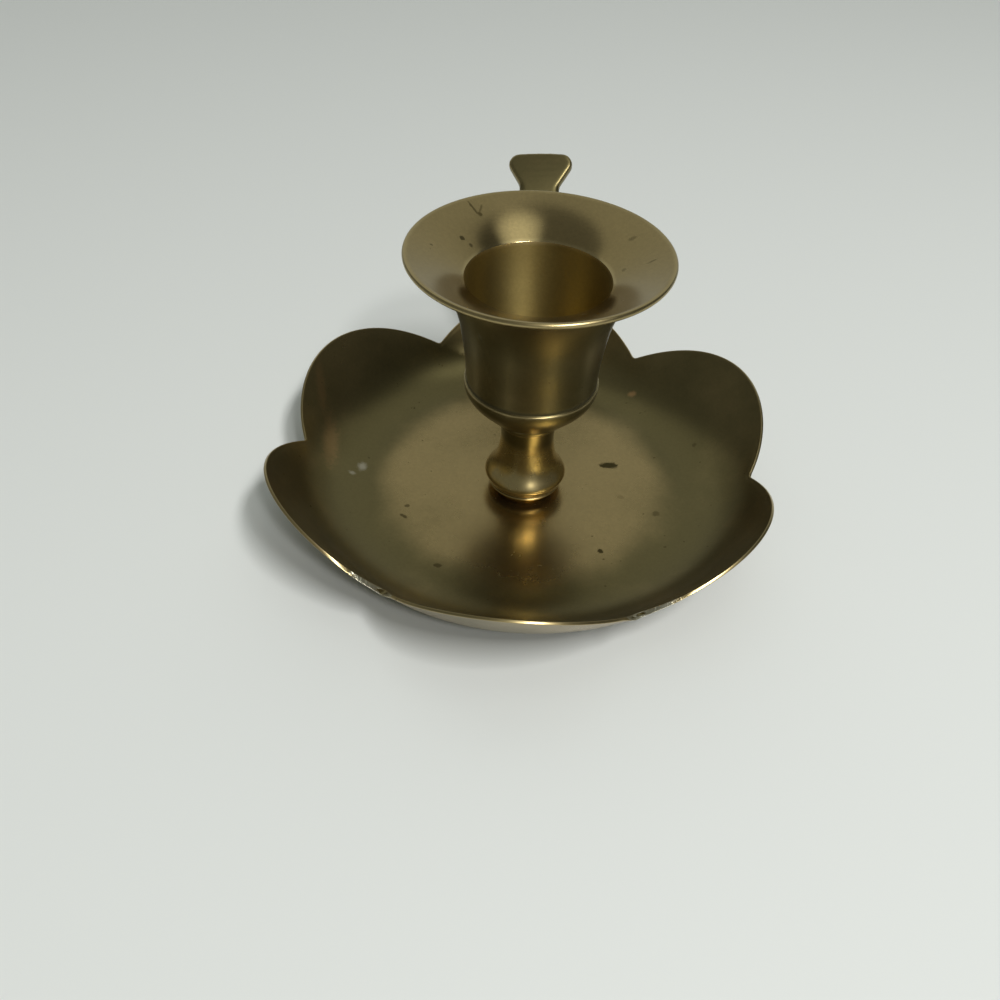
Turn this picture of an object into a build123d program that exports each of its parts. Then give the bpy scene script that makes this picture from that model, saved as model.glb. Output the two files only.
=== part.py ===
from build123d import *
import os
from math import atan2, cos, hypot, radians, sin

# Brass chamberstick with a finger loop, in millimetres.
# Z is the candle's axis, zero is the table, and the finger loop stands on the +Y side.

# Sizes of the candle socket, a turned cup with a flared drip rim
candle_diameter = 22.0
mouth_land = 4.5
seat_end_diameter = 18.4
bore_depth = 18.8
bore_corner = 1.0
funnel_depth = 4.4
rim_diameter = 39.9
lip_thickness = 0.9
wall_foot_diameter = 20.8
wall_height = 21.0
ledge_diameter = 21.5
ledge_height = 0.6
ledge_step = 0.3
bowl_height = 6.2
collar_diameter = 10.8
collar_height = 1.6

# Sizes of the stem, a turned baluster
stem_height = 13.9
neck_top_diameter = 9.4
neck_waist_diameter = 8.8
neck_foot_diameter = 9.4
knop_diameter = 13.8
stem_ring_diameter = 10.6
stem_ring_height = 0.8
stem_ring_bulge = 0.2
stem_groove_diameter = 9.8
stem_groove_height = 0.3
spigot_diameter = 5.0
spigot_length = 4.0

# Sizes of the dish, six petals round a flat floor on a foot ring
petal_count = 6
petal_turn = -2.3
tip_radius = 43.0
tip_rise = 13.4
petal_depth = 4.9
notch_rise = 5.9
notch_rounding = 1.3
wall_reach = 11.7
floor_thickness = 1.2
lip_wall = 0.8
foot_ring_setback = 1.9
foot_ring_width = 2.2
foot_ring_height = 2.0

# Sizes of the screw and washer under the dish
screw_diameter = 4.0
screw_grip = 7.0
screw_head_diameter = 7.6
screw_head_height = 1.2
screw_slot_width = 1.0
screw_slot_depth = 0.6
washer_diameter = 9.0
washer_thickness = 0.5

# Sizes of the finger loop, one casting with its root and thumb plate
finger_hole_diameter = 19.0
loop_thickness = 2.2
loop_width = 7.5
loop_rounding = 0.6
loop_setback = 9.4
loop_rise = 8.5
root_thickness = 2.0
plate_slope = 33.0
plate_length = 9.6
plate_end_width = 14.0
plate_neck_width = 6.8
plate_neck_length = 1.0
plate_thickness = 1.8
plate_corner = 2.6
plate_chamfer = 0.4

# Sizes of the two rivets that hold the loop
rivet_diameter = 1.8
rivet_head_diameter = 3.4
rivet_head_height = 0.9

# Clearances and cutting overruns
thread_clearance = 0.1
screw_clearance = 0.2
rivet_clearance = 0.05
spigot_end_clearance = 0.5
screw_end_clearance = 1.0
overrun = 2.0

# Radii and heights that follow from the sizes
notch_radius = tip_radius - petal_depth
floor_radius = notch_radius - wall_reach
foot_ring_radius = floor_radius - foot_ring_setback
floor_under = foot_ring_height
floor_top = floor_under + floor_thickness
floor_middle = floor_under + floor_thickness / 2
stem_top = floor_top + stem_height
bowl_low = stem_top + collar_height
ledge_low = bowl_low + bowl_height
ledge_top = ledge_low + ledge_height
wall_low = ledge_top + ledge_step
lip_low = wall_low + wall_height
rim_top = lip_low + lip_thickness
mouth_height = rim_top - funnel_depth
bore_floor = mouth_height - bore_depth

# The loop's hole stands behind and above the tip of the petal that carries it
loop_reach = tip_radius + loop_setback
loop_height = floor_middle + tip_rise + loop_rise

# Shares of the outline's own sizes, from foot to head and from axis to edge
wall_shares = [
    (0.18, 0.02),
    (0.32, 0.06),
    (0.45, 0.105),
    (0.56, 0.16),
    (0.66, 0.24),
    (0.78, 0.38),
    (0.88, 0.57),
]
lip_overrun_share = 1.35
funnel_shares = [(0.30, 0.36), (0.65, 0.71)]
bowl_shares = [(0.48, 0.72)]
neck_waist_share = 0.70
neck_foot_share = 0.45
knop_share = 0.21
knop_shoulder_share = 0.30
knop_shoulder_radius_share = 0.93
rivet_shares = (0.27, 0.70)
root_low_share = -0.10
root_high_share = 0.92
root_back_share = 0.75
root_angles = (222.0, 258.0)
plate_start_angle = 90.0 + plate_slope


def between(low, high, share):
    return low + (high - low) * share


def turned(outline):
    return revolve(Plane.XZ * make_face(outline), Axis.Z)


def rod(radius, low, high):
    return Pos(0, 0, low) * Cylinder(radius, high - low, align=(Align.CENTER, Align.CENTER, Align.MIN))


# The dish's wall as two arcs of its middle surface: floor to notch, then notch to petal tip
notch_slope = 2 * atan2(notch_rise, notch_radius - floor_radius)
upper_chord_slope = atan2(tip_rise - notch_rise, tip_radius - notch_radius)
tip_slope = 2 * upper_chord_slope - notch_slope
upper_chord = hypot(tip_rise - notch_rise, tip_radius - notch_radius)
upper_arc = upper_chord / (2 * sin(upper_chord_slope - notch_slope))


def wall_normal(share):
    slope = between(notch_slope, tip_slope, share)
    return sin(slope), -cos(slope)


def wall_point(share, offset=0):
    # Share 0 is at the notches, 1 at the petal tips, and a positive offset is towards the outside
    across, down = wall_normal(share)
    start_across, start_down = wall_normal(0)
    radius = notch_radius + upper_arc * (across - start_across) + offset * across
    height = floor_middle + notch_rise + upper_arc * (down - start_down) + offset * down
    return radius, height


def wall_curve(side):
    # The inner surface has side -1 and the outer surface has side 1
    notch_wall = (floor_thickness + lip_wall) / 2
    start = (floor_radius, floor_middle - side * floor_thickness / 2)
    lower = TangentArc(start, wall_point(0, side * notch_wall / 2), tangent=(1, 0))
    upper = TangentArc(lower @ 1, wall_point(lip_overrun_share, side * lip_wall / 2), tangent=lower % 1)
    return lower, upper


def petal_outline():
    half_petal = radians(180 / petal_count)
    centre = (tip_radius**2 - notch_radius**2) / (2 * (tip_radius - notch_radius * cos(half_petal)))
    petals = PolarLocations(centre, petal_count, start_angle=90 + petal_turn)
    flower = Sketch() + [Circle(floor_radius), *[place * Circle(tip_radius - centre) for place in petals]]
    middle = (tip_radius + notch_radius) / 2
    corners = flower.vertices().filter_by(lambda vertex: hypot(vertex.X, vertex.Y) < middle)
    return fillet(corners, notch_rounding)


def make_petal_dish():
    hole = screw_diameter / 2 + screw_clearance
    ring_inner = foot_ring_radius - foot_ring_width
    inner_lower, inner_upper = wall_curve(-1)
    outer_lower, outer_upper = wall_curve(1)
    outline = Curve() + [
        Line((hole, floor_top), inner_lower @ 0),
        inner_lower,
        inner_upper,
        Line(inner_upper @ 1, outer_upper @ 1),
        outer_upper,
        outer_lower,
        Polyline(
            outer_lower @ 0,
            (foot_ring_radius, floor_under),
            (foot_ring_radius, 0),
            (ring_inner, 0),
            (ring_inner, floor_under),
            (hole, floor_under),
            (hole, floor_top),
        ),
    ]
    blank = turned(outline)
    flower = extrude(petal_outline(), rim_top)
    dish = blank & flower
    for share in rivet_shares:
        dish -= rivet_hole(share)
    return dish


def make_candle_cup():
    foot = wall_foot_diameter / 2
    rim = rim_diameter / 2 - lip_thickness / 2
    mouth = candle_diameter / 2
    seat_end = seat_end_diameter / 2
    ledge = ledge_diameter / 2
    collar = collar_diameter / 2
    socket = spigot_diameter / 2 + thread_clearance
    socket_top = stem_top + spigot_length + spigot_end_clearance
    wall = [(between(foot, rim, out), between(wall_low, lip_low, up)) for up, out in wall_shares]
    funnel = [(between(mouth, rim, out), between(mouth_height, rim_top, up)) for out, up in funnel_shares]
    bowl = [
        (between(ledge, collar, across), between(ledge_low, bowl_low, down))
        for across, down in bowl_shares
    ]
    land_low = mouth_height - mouth_land
    outline = Curve() + [
        Polyline((socket, socket_top), (socket, stem_top), (neck_top_diameter / 2, stem_top)),
        ThreePointArc(
            (neck_top_diameter / 2, stem_top),
            (collar, stem_top + collar_height / 2),
            (neck_top_diameter / 2, bowl_low),
        ),
        Line((neck_top_diameter / 2, bowl_low), (collar, bowl_low)),
        Spline([(collar, bowl_low), *reversed(bowl), (ledge, ledge_low)], tangents=[(1, 0), (0, 1)]),
        Polyline((ledge, ledge_low), (ledge, ledge_top), (foot, wall_low)),
        Spline([(foot, wall_low), *wall, (rim, lip_low)]),
        RadiusArc((rim, lip_low), (rim, rim_top), -lip_thickness / 2),
        Spline([(rim, rim_top), *reversed(funnel), (mouth, mouth_height)]),
        Polyline(
            (mouth, mouth_height),
            (mouth, land_low),
            (seat_end, bore_floor + bore_corner),
            (seat_end - bore_corner, bore_floor),
            (0, bore_floor),
            (0, socket_top),
            (socket, socket_top),
        ),
    ]
    return turned(outline)


def make_stem():
    ring = stem_ring_diameter / 2
    groove = stem_groove_diameter / 2
    knop = knop_diameter / 2
    waist = neck_waist_diameter / 2
    neck_top = neck_top_diameter / 2
    spigot = spigot_diameter / 2
    ring_top = floor_top + stem_ring_height
    ring_middle = floor_top + stem_ring_height / 2
    groove_top = ring_top + stem_groove_height
    knop_height = floor_top + stem_height * knop_share
    shoulder_height = floor_top + stem_height * knop_shoulder_share
    neck_foot_height = floor_top + stem_height * neck_foot_share
    waist_height = floor_top + stem_height * neck_waist_share
    side = [
        (groove, groove_top),
        (knop, knop_height),
        (knop * knop_shoulder_radius_share, shoulder_height),
        (neck_foot_diameter / 2, neck_foot_height),
        (waist, waist_height),
        (neck_top, stem_top),
    ]
    outline = Curve() + [
        Polyline((0, floor_top), (ring, floor_top)),
        ThreePointArc((ring, floor_top), (ring + stem_ring_bulge, ring_middle), (ring, ring_top)),
        Polyline((ring, ring_top), (groove, ring_top), (groove, groove_top)),
        Spline(side),
        Polyline(
            (neck_top, stem_top),
            (spigot, stem_top),
            (spigot, stem_top + spigot_length),
            (0, stem_top + spigot_length),
            (0, floor_top),
        ),
    ]
    tapped = screw_diameter / 2 + thread_clearance
    return turned(outline) - rod(tapped, floor_top - overrun, floor_top + screw_grip + screw_end_clearance)


def make_stem_washer():
    hole = screw_diameter / 2 + screw_clearance
    low = floor_under - washer_thickness
    return rod(washer_diameter / 2, low, floor_under) - rod(hole, low - overrun, floor_under + overrun)


def make_stem_screw():
    head_top = floor_under - washer_thickness
    head_low = head_top - screw_head_height
    screw = rod(screw_head_diameter / 2, head_low, head_top)
    screw += rod(screw_diameter / 2, head_top, floor_top + screw_grip)
    slot = Box(screw_head_diameter + overrun, screw_slot_width, 2 * screw_slot_depth)
    return screw - Pos(0, 0, head_low) * slot


def rivet_plane(share):
    # A plane on the middle of the back petal's wall, with its Z square to the wall and outwards
    reach, height = wall_point(share)
    across, down = wall_normal(share)
    return Plane(origin=(0, reach, height), x_dir=(1, 0, 0), z_dir=(0, across, down))


def rivet_hole(share):
    depth = lip_wall + root_thickness + overrun
    return rivet_plane(share) * Cylinder(rivet_diameter / 2 + rivet_clearance, 2 * depth)


def ring_point(angle):
    middle = finger_hole_diameter / 2 + loop_thickness / 2
    return loop_reach + middle * cos(radians(angle)), loop_height + middle * sin(radians(angle))


def loop_side():
    # The loop seen from its side, as a sketch whose X is the part's Y
    centre = Pos(loop_reach, loop_height)
    inner = finger_hole_diameter / 2
    back = lip_wall / 2 + root_thickness
    front = [wall_point(root_low_share), wall_point(root_high_share)]
    rear = [wall_point(root_back_share, back), wall_point(root_low_share, back)]
    root = make_face(Polyline(*front, *[ring_point(angle) for angle in root_angles], *rear, close=True))
    return root + centre * Circle(inner + loop_thickness) - centre * Circle(inner)


def thumb_plate():
    start_reach, start_height = ring_point(plate_start_angle)
    slope = radians(plate_slope)
    lie = Plane(origin=(0, start_reach, start_height), x_dir=(1, 0, 0), z_dir=(0, -sin(slope), cos(slope)))
    neck = plate_neck_width / 2
    end = plate_end_width / 2
    right = [(neck, 0), (neck, plate_neck_length), (end, plate_length)]
    left = [(-across, along) for across, along in reversed(right)]
    blade = make_face(Polyline(*right, *left, close=True))
    blade = fillet(blade.vertices().group_by(Axis.Y)[-1], plate_corner)
    plate = extrude(blade, plate_thickness / 2, both=True)
    rims = plate.faces().filter_by(Axis.Z).edges().filter_by(lambda edge: edge.center().Y > 0)
    return lie * chamfer(rims, plate_chamfer)


def make_finger_loop(dish):
    loop = extrude(Plane.YZ * loop_side(), loop_width / 2, both=True)
    sides = loop.faces().filter_by(Axis.X)
    loop = fillet(sides.edges(), loop_rounding)
    loop += thumb_plate()
    loop -= dish
    for share in rivet_shares:
        loop -= rivet_hole(share)
    return loop


def domed_rivet():
    # A rivet along Z through the wall and the root, with a dome at each end, before its seats are cut
    head = rivet_head_diameter / 2
    dome = (head**2 + rivet_head_height**2) / (2 * rivet_head_height)
    wall_face = lip_wall / 2
    root_face = wall_face + root_thickness
    inner = Pos(0, 0, dome - wall_face - rivet_head_height) * Sphere(dome)
    outer = Pos(0, 0, root_face + rivet_head_height - dome) * Sphere(dome)
    between_heads = rod(head, -wall_face - rivet_head_height, root_face + rivet_head_height)
    return between_heads & inner & outer


def make_loop_rivets(dish, loop):
    rivets = [rivet_plane(share) * domed_rivet() - dish - loop for share in rivet_shares]
    return Compound(children=[piece for rivet in rivets for piece in rivet.solids()])


def main():
    os.makedirs("parts", exist_ok=True)
    dish = make_petal_dish()
    loop = make_finger_loop(dish)
    nodes = {
        "petal_dish": dish,
        "candle_cup": make_candle_cup(),
        "stem": make_stem(),
        "stem_washer": make_stem_washer(),
        "stem_screw": make_stem_screw(),
        "finger_loop": loop,
        "loop_rivets": make_loop_rivets(dish, loop),
    }
    for name, solid in nodes.items():
        export_step(solid, f"parts/{name}.step")


main()
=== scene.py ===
import math
from typing import NamedTuple

import bmesh
import bpy
import numpy as np
from bpy.props import FloatProperty, FloatVectorProperty, IntProperty, PointerProperty
from bpy.types import Operator, Panel, PropertyGroup
from mathutils import Matrix, Vector


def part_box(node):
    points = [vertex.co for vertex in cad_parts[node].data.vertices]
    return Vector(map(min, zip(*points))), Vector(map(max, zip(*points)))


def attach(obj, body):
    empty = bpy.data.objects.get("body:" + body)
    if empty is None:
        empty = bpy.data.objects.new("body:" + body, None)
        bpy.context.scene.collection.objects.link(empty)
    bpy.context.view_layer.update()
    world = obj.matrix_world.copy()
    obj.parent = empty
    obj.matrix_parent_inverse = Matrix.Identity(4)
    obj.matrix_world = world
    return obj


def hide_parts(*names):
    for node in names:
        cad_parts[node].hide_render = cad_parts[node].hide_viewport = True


bl_info = {
    "name": "Brass Chamberstick",
    "version": (1, 0, 0),
    "blender": (4, 5, 0),
    "location": "3D View > Sidebar > Chamberstick",
    "description": "Makes an old brass chamberstick with a petal dish and a finger loop",
    "category": "Add Mesh",
}

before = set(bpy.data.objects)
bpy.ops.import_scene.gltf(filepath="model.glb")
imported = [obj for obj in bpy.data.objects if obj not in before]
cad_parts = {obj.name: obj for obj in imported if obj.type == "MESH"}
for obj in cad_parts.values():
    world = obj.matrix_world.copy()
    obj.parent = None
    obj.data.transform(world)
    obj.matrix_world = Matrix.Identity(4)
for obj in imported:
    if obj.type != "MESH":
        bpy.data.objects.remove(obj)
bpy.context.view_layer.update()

MM = 0.001
IMAGE_SIZE = 1000
SENSOR_WIDTH = 36.0

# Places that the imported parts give: Z is the candle's axis and the table is at zero
CUP_LOW, CUP_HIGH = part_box("candle_cup")
STEM_LOW, STEM_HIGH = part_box("stem")
LOOP_LOW, LOOP_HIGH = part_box("finger_loop")
WASHER_LOW, WASHER_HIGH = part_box("stem_washer")
SCREW_LOW, SCREW_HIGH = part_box("stem_screw")
FLOOR_TOP = STEM_LOW.z
FLOOR_UNDER = WASHER_HIGH.z
STEM_TOP = CUP_LOW.z
RIM_TOP = CUP_HIGH.z
RIM_RADIUS = CUP_HIGH.x


def length(name, description, millimetres):
    return FloatProperty(
        name=name, description=description, default=millimetres * MM, min=0.0, unit="LENGTH"
    )


def share(name, description, value):
    return FloatProperty(
        name=name, description=description, default=value, min=0.0, max=1.0, subtype="FACTOR"
    )


def angle(name, description, degrees):
    return FloatProperty(
        name=name, description=description, default=math.radians(degrees), unit="ROTATION"
    )


def colour(name, description, value):
    return FloatVectorProperty(
        name=name, description=description, default=value, size=3, min=0.0, max=1.0, subtype="COLOR"
    )


def count(name, description, value):
    return IntProperty(name=name, description=description, default=value, min=3)


class CupSizes(PropertyGroup):
    """Sizes of the turned candle socket."""

    mouth_diameter: length("Mouth diameter", "Bore that takes the candle", 22.0)
    mouth_land: length("Mouth land", "Straight part of the bore below the mouth", 4.5)
    seat_end_diameter: length("Seat end diameter", "Bottom of the tapered bore", 18.4)
    bore_depth: length("Bore depth", "From the mouth to the bottom of the bore", 18.8)
    bore_corner: length("Bore corner", "Rounding at the bottom of the bore", 1.0)
    funnel_depth: length("Funnel depth", "From the rim's top down to the mouth", 4.4)
    lip: length("Lip thickness", "Thickness of the flared rim's rounded lip", 0.9)
    wall_foot_diameter: length("Wall foot diameter", "Foot of the outer wall, above the ledge", 20.9)
    ledge_diameter: length("Ledge diameter", "Small bead above the bowl", 21.5)
    ledge_height: length("Ledge height", "Height of the bead above the bowl", 0.6)
    bowl_height: length("Bowl height", "Height of the rounded underside", 6.2)
    collar_diameter: length("Collar diameter", "Bead under the bowl", 10.8)
    collar_height: length("Collar height", "Height of the bead under the bowl", 1.6)
    neck_diameter: length("Neck diameter", "Where the socket meets the stem", 9.4)
    socket_diameter: length("Thread diameter", "Hole for the stem's spigot", 5.2)
    socket_depth: length("Thread depth", "Depth of the hole for the spigot", 4.5)


class StemSizes(PropertyGroup):
    """Sizes of the turned baluster stem."""

    ring_diameter: length("Foot ring diameter", "Thin ring that stands on the dish", 9.2)
    ring_height: length("Foot ring height", "Height of the thin ring", 0.8)
    groove_diameter: length("Groove diameter", "Groove above the thin ring", 8.8)
    groove_height: length("Groove height", "Height of the groove", 0.3)
    line_height: length("Line height", "Thin raised line under the knop", 0.3)
    line_depth: length("Line depth", "How far the thin line stands out", 0.12)
    knop_diameter: length("Knop diameter", "Widest part of the stem", 13.8)
    knop_edge: length("Knop edge", "Rounding of the knop's widest edge", 0.5)
    waist_diameter: length("Waist diameter", "Narrowest part of the stem", 8.8)
    neck_diameter: length("Neck diameter", "Head of the neck", 9.4)
    spigot_diameter: length("Spigot diameter", "Threaded end in the socket", 5.0)
    knop_share: share("Knop place", "Height of the knop as a share of the stem", 0.235)
    line_share: share("Line place", "Height of the thin line as a share of the stem", 0.094)
    line_radius_share: share("Line size", "Thin line as a share of the knop's radius", 0.90)
    waist_share: share("Waist place", "Height of the waist as a share of the stem", 0.76)


class DishSizes(PropertyGroup):
    """Sizes of the petal dish."""

    petals: count("Petals", "Number of petals", 6)
    turn: angle("Turn", "How far the petals are turned about the axis", -2.3)
    tip_radius: length("Tip radius", "From the axis to a petal's tip", 43.0)
    tip_rise: length("Tip rise", "From the floor to a petal's tip", 13.4)
    petal_depth: length("Petal depth", "How far the notches are cut in", 4.9)
    notch_rise: length("Notch rise", "From the floor to a notch", 5.9)
    notch_blend: length("Notch blend", "How far apart two petals start to run together", 0.53)
    wall_reach: length("Wall reach", "From the floor's edge out to a notch", 11.7)
    floor: length("Floor thickness", "Thickness of the floor", 1.2)
    lip: length("Lip thickness", "Thickness of the petals' edge", 0.45)
    lip_rounding: length("Lip rounding", "Rounding of the petals' cut edge", 0.08)
    facet: length("Facet", "How far the front notches' edges are filed down on the inside", 1.2)
    facet_swell: length("Facet swell", "How much thicker the edge is where it has been filed", 0.42)
    ring_setback: length("Foot ring setback", "From the floor's edge in to the foot ring", 1.9)
    ring_width: length("Foot ring width", "Width of the foot ring", 2.2)
    hole_diameter: length("Screw hole", "Hole in the middle of the floor", 4.4)
    ridge: length("Ridge", "Height of the soft ridge below each notch", 0.12)
    ridge_width: angle("Ridge width", "Half the width of the ridge below each notch", 4.0)


class LoopSizes(PropertyGroup):
    """Sizes of the cast finger loop and its thumb plate."""

    hole_diameter: length("Finger hole", "Hole through the loop", 19.0)
    thickness: length("Thickness", "Thickness of the loop's strap", 2.2)
    width: length("Width", "Width of the loop's strap", 7.5)
    rounding: length("Rounding", "Rounding of the strap's edges", 0.6)
    rise: length("Rise", "From the petal's tip up to the middle of the hole", 8.5)
    root_thickness: length("Root thickness", "Thickness of the root on the petal", 2.0)
    plate_slope: angle("Plate slope", "How steeply the thumb plate rises", 33.0)
    plate_length: length("Plate length", "From the loop to the thumb plate's end", 9.5)
    plate_end_width: length("Plate end width", "Width of the thumb plate at its end, before rounding", 14.8)
    plate_neck_width: length("Plate neck width", "Width of the thumb plate at the loop", 6.6)
    plate_neck_length: length("Plate neck length", "Straight part of the thumb plate", 2.0)
    plate_neck_rounding: length("Plate neck rounding", "Curve from the neck into the flared sides", 2.5)
    plate_bow: length("Plate bow", "How far the thumb plate's end is bowed out", 0.25)
    plate_thickness: length("Plate thickness", "Thickness of the thumb plate", 1.8)
    plate_corner: length("Plate corner", "Rounding of the thumb plate's corners", 2.0)
    plate_bevel: length("Plate bevel", "Bevel round the thumb plate", 0.35)
    plate_side_bevel: length("Plate side bevel", "Wider bevel filed on the plate's right side", 0.5)
    plate_twist: angle("Plate twist", "How far the thumb plate's end is twisted, right side up", 6.0)


class FastenerSizes(PropertyGroup):
    """Sizes of the screw, the washer and the rivets."""

    screw_diameter: length("Screw diameter", "Thread of the screw", 4.0)
    head_height: length("Head height", "Height of the screw's head", 1.2)
    slot_width: length("Slot width", "Width of the screwdriver slot", 1.0)
    slot_depth: length("Slot depth", "Depth of the screwdriver slot", 0.6)
    edge: length("Edge rounding", "Rounding of the turned edges", 0.15)
    rivet_diameter: length("Rivet diameter", "Shank of a rivet", 1.8)
    rivet_head_diameter: length("Rivet head diameter", "Dome of a rivet", 3.4)
    rivet_head_height: length("Rivet head height", "Height of a rivet's dome", 0.9)


class BrassColours(PropertyGroup):
    """Colours of the aged brass."""

    brass: colour("Brass", "Softly polished brass", (0.42, 0.315, 0.145))
    polished: colour("Polished", "Brass that is often handled or rubbed", (0.68, 0.54, 0.25))
    tarnish: colour("Tarnish", "Olive tarnish over the brass", (0.188, 0.155, 0.068))
    worn: colour("Worn edge", "Bare brass along worn edges", (0.58, 0.46, 0.23))
    grime: colour("Grime", "Dark grime in the hollows", (0.07, 0.06, 0.03))
    spot: colour("Spot", "Brown and green spots", (0.075, 0.06, 0.022))
    bore: colour("Bore", "Clean yellow brass inside the bore", (0.42, 0.325, 0.11))
    # The copper stain colour is a painted reflection: warm reflections and highlights painted onto the
    # dish's walls
    painted_reflection: colour("Copper stain", "Warm patches where the tarnish has turned coppery", (0.50, 0.30, 0.13))
    filed: colour("Filed metal", "Pale metal where a file has cut", (0.72, 0.69, 0.55))
    wax: colour("Wax", "Small pale crumbs of old wax", (0.55, 0.53, 0.44))


class StageLook(PropertyGroup):
    """Colours of the studio."""

    floor: colour("Floor", "Pale floor", (0.80, 0.82, 0.79))
    world: colour("World", "Soft light from all round", (0.95, 1.0, 0.94))
    level: share("Level", "Strength of the soft light from the sides and above", 0.16)
    back_level: share("Back level", "Added strength from the pale wall behind", 0.30)
    above_level: share("Above level", "Added strength from the soft lamp almost overhead", 1.0)
    right_level: share("Right level", "Strength taken away at the dark right side", 0.08)


class ChamberstickSettings(PropertyGroup):
    """Everything that a user would change."""

    cup: PointerProperty(name="Candle cup", description="Sizes of the candle socket", type=CupSizes)
    stem: PointerProperty(name="Stem", description="Sizes of the stem", type=StemSizes)
    dish: PointerProperty(name="Petal dish", description="Sizes of the dish", type=DishSizes)
    loop: PointerProperty(name="Finger loop", description="Sizes of the finger loop", type=LoopSizes)
    fasteners: PointerProperty(name="Fasteners", description="Sizes of the fasteners", type=FastenerSizes)
    colours: PointerProperty(name="Colours", description="Colours of the brass", type=BrassColours)
    stage: PointerProperty(name="Stage", description="Look of the studio", type=StageLook)


# Outlines of turned pieces, as lists of radius and height

# How finely the turned pieces and the dish are made
TURN_STEPS = 256
DISH_STEPS = 960
POINT_SPACING = 0.55 * MM
ROUND_STEPS = 5
SECTORS = 16
WELD = 0.001 * MM


def between(low, high, part):
    return low + (high - low) * part


def smooth_curve(points, start=None, end=None, spacing=POINT_SPACING):
    # A cubic spline through the points, straight at an end unless a direction is given there
    knots = np.array(points, float)
    chords = np.linalg.norm(np.diff(knots, axis=0), axis=1)
    places = np.concatenate([[0.0], np.cumsum(chords)])
    total = len(knots)
    system = np.zeros((total, total))
    sides = np.zeros((total, 2))
    for i in range(1, total - 1):
        before, after = chords[i - 1], chords[i]
        system[i, i - 1 : i + 2] = before, 2 * (before + after), after
        sides[i] = 6 * ((knots[i + 1] - knots[i]) / after - (knots[i] - knots[i - 1]) / before)
    system[0, 0] = 1
    system[-1, -1] = 1
    if start is not None:
        system[0, :2] = 2 * chords[0], chords[0]
        sides[0] = 6 * ((knots[1] - knots[0]) / chords[0] - np.array(start, float))
    if end is not None:
        system[-1, -2:] = chords[-1], 2 * chords[-1]
        sides[-1] = 6 * (np.array(end, float) - (knots[-1] - knots[-2]) / chords[-1])
    bends = np.linalg.solve(system, sides)
    steps = max(2, round(places[-1] / spacing))
    result = []
    for place in np.linspace(0, places[-1], steps + 1):
        i = min(int(np.searchsorted(places, place, side="right")) - 1, total - 2)
        reach = chords[i]
        left, right = places[i + 1] - place, place - places[i]
        point = (bends[i] * left**3 + bends[i + 1] * right**3) / (6 * reach)
        point = point + (knots[i] / reach - bends[i] * reach / 6) * left
        point = point + (knots[i + 1] / reach - bends[i + 1] * reach / 6) * right
        result.append((float(point[0]), float(point[1])))
    return result


def arc(centre, radius, start, end, steps):
    turns = np.linspace(math.radians(start), math.radians(end), steps + 1)
    return [(centre[0] + radius * math.cos(turn), centre[1] + radius * math.sin(turn)) for turn in turns]


def eased_corner(before, corner, after, radius):
    # The corner as a short arc that touches both of its sides
    to_before = (Vector(before) - Vector(corner)).normalized()
    to_after = (Vector(after) - Vector(corner)).normalized()
    half = to_before.angle(to_after) / 2
    middle = (to_before + to_after).normalized()
    centre = Vector(corner) + middle * (radius / math.sin(half))
    first = Vector(corner) + to_before * (radius / math.tan(half)) - centre
    last = Vector(corner) + to_after * (radius / math.tan(half)) - centre
    points = []
    for step in range(ROUND_STEPS + 1):
        way = first.lerp(last, step / ROUND_STEPS).normalized() * radius
        points.append(tuple(centre + way))
    return points


def eased(corners):
    # Corners are (radius, height) or (radius, height, rounding)
    points = []
    for i, corner in enumerate(corners):
        place = tuple(corner[:2])
        if len(corner) == 2:
            points.append(place)
            continue
        after = corners[(i + 1) % len(corners)][:2]
        points += eased_corner(corners[i - 1][:2], place, after, corner[2])
    return points


def spaced(points, spacing=POINT_SPACING):
    result = [points[0]]
    for first, last in zip(points, points[1:]):
        steps = max(1, round(math.dist(first, last) / spacing))
        for step in range(1, steps + 1):
            result.append(tuple(Vector(first).lerp(Vector(last), step / steps)))
    return result


def add_profile(bm, points):
    vertices = [bm.verts.new((radius, 0.0, height)) for radius, height in points]
    return [bm.edges.new(pair) for pair in zip(vertices, vertices[1:])]


def spin_profile(bm, edges, steps):
    # One sector is spun, and its copies close the turn, because a long spin is slow
    vertices = list({vertex for edge in edges for vertex in edge.verts})
    bmesh.ops.spin(
        bm,
        geom=vertices + edges,
        cent=(0, 0, 0),
        axis=(0, 0, 1),
        dvec=(0, 0, 0),
        angle=math.tau / SECTORS,
        steps=steps // SECTORS,
        use_merge=False,
        use_duplicate=False,
    )
    sector = [*bm.verts, *bm.edges, *bm.faces]
    for turn in range(1, SECTORS):
        copied = bmesh.ops.duplicate(bm, geom=sector)["geom"]
        corners = [item for item in copied if isinstance(item, bmesh.types.BMVert)]
        matrix = Matrix.Rotation(math.tau * turn / SECTORS, 3, "Z")
        bmesh.ops.rotate(bm, verts=corners, cent=(0, 0, 0), matrix=matrix)
    bmesh.ops.remove_doubles(bm, verts=bm.verts, dist=WELD)


def turned_mesh(points, steps=TURN_STEPS):
    bm = bmesh.new()
    spin_profile(bm, add_profile(bm, points), steps)
    bmesh.ops.recalc_face_normals(bm, faces=bm.faces)
    return bm


def piece(name, bm):
    mesh = bpy.data.meshes.new(name)
    for face in bm.faces:
        face.smooth = True
    bm.to_mesh(mesh)
    bm.free()
    made = bpy.data.objects.new(name, mesh)
    bpy.context.scene.collection.objects.link(made)
    return made


def settle(made, node, slot, colours):
    mark_edges(made.data)
    made.data.materials.clear()
    made.data.materials.append(aged_brass(slot, node, colours))
    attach(made, "root")
    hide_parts(node)
    return made


# The candle socket

# Points on the outer wall, as shares of the way up and of the way out
WALL_SHARES = (
    (0.18, 0.02), (0.32, 0.06), (0.45, 0.105), (0.56, 0.16), (0.66, 0.24), (0.78, 0.38), (0.88, 0.57)
)
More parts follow.
